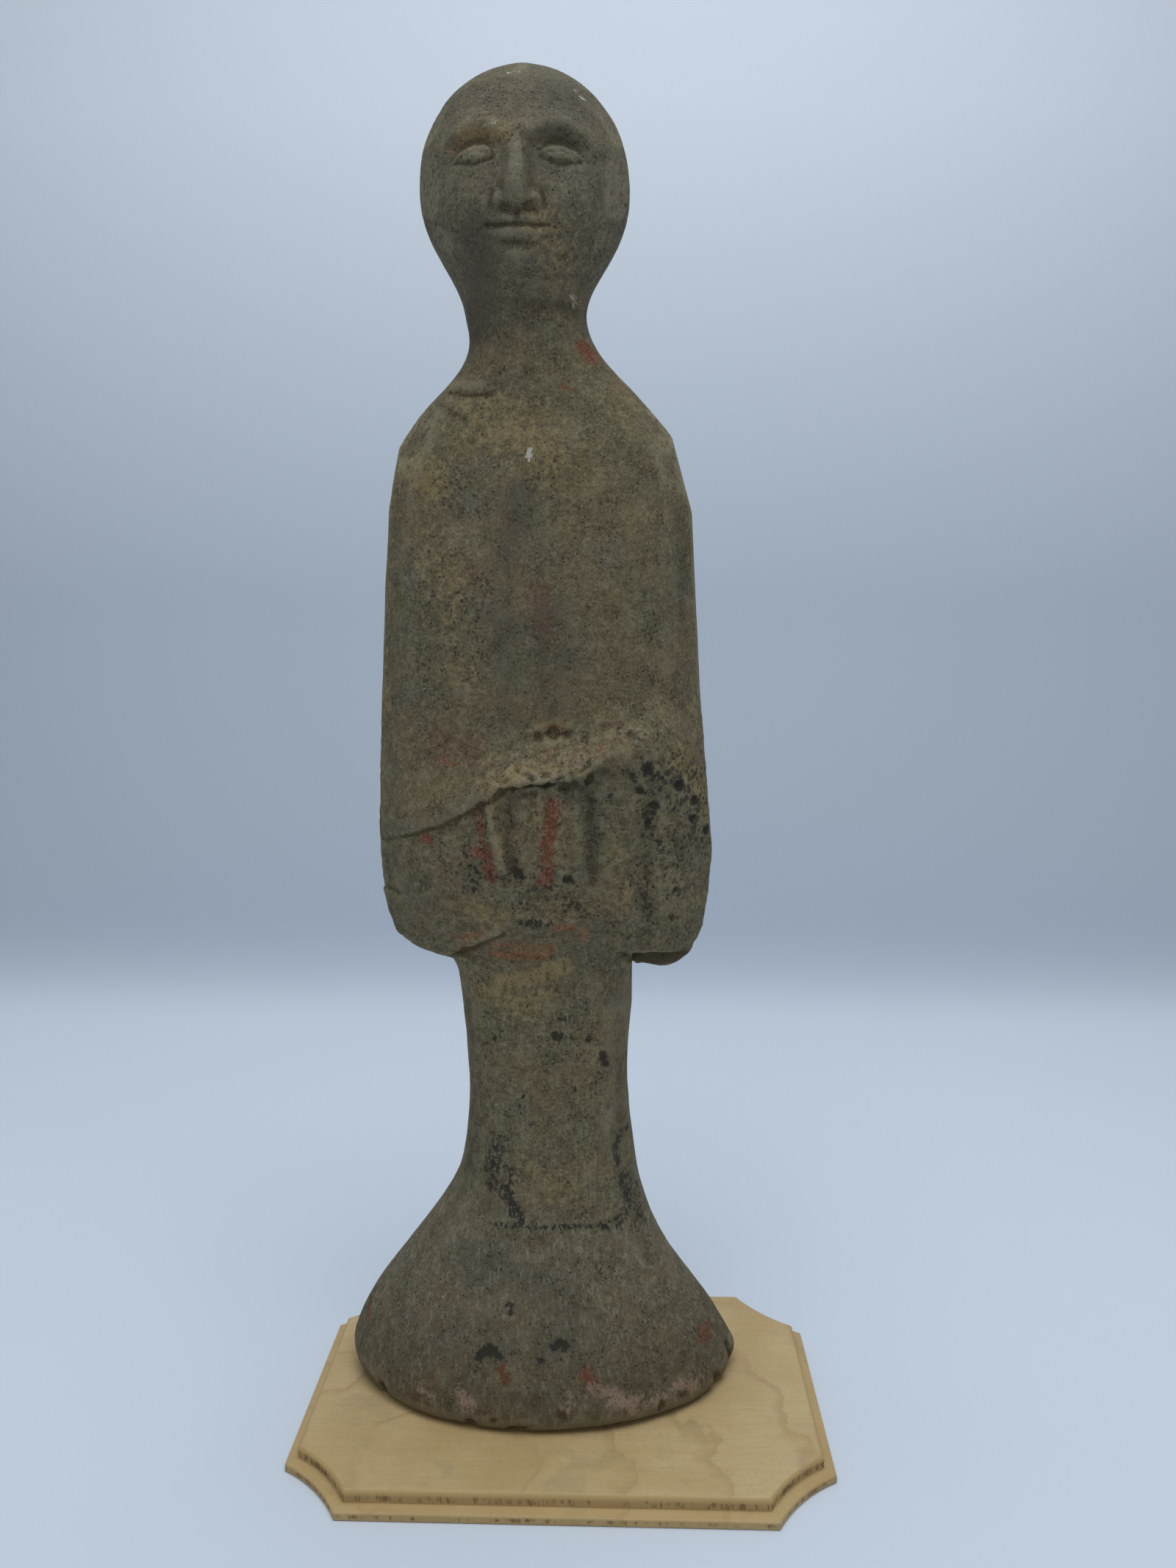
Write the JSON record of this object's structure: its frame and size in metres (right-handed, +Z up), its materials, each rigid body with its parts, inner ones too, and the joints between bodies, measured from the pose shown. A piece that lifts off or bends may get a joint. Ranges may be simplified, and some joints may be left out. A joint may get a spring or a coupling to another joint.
{
  "type": "terracotta standing figure",
  "caption": "Moulded terracotta man standing with hands joined in long sleeves, in a flared robe, on a small moulded wooden plaque.",
  "frame": {"origin": "middle of the wooden base's underside, on the surface that it stands on", "axes": "+Z up through the figure, -Y the way the figure faces, +X to the right of someone who faces it"},
  "size_m": [0.1524, 0.1016, 0.3826],
  "materials": {
    "terracotta": "matt unglazed grey-brown pottery, worn, with soil and traces of red and black paint",
    "bare_wood": "sanded bare basswood, unfinished"
  },
  "bodies": {
    "root": {"terracotta_man": "terracotta", "wooden_base": "bare_wood"}
  },
  "joints": []
}
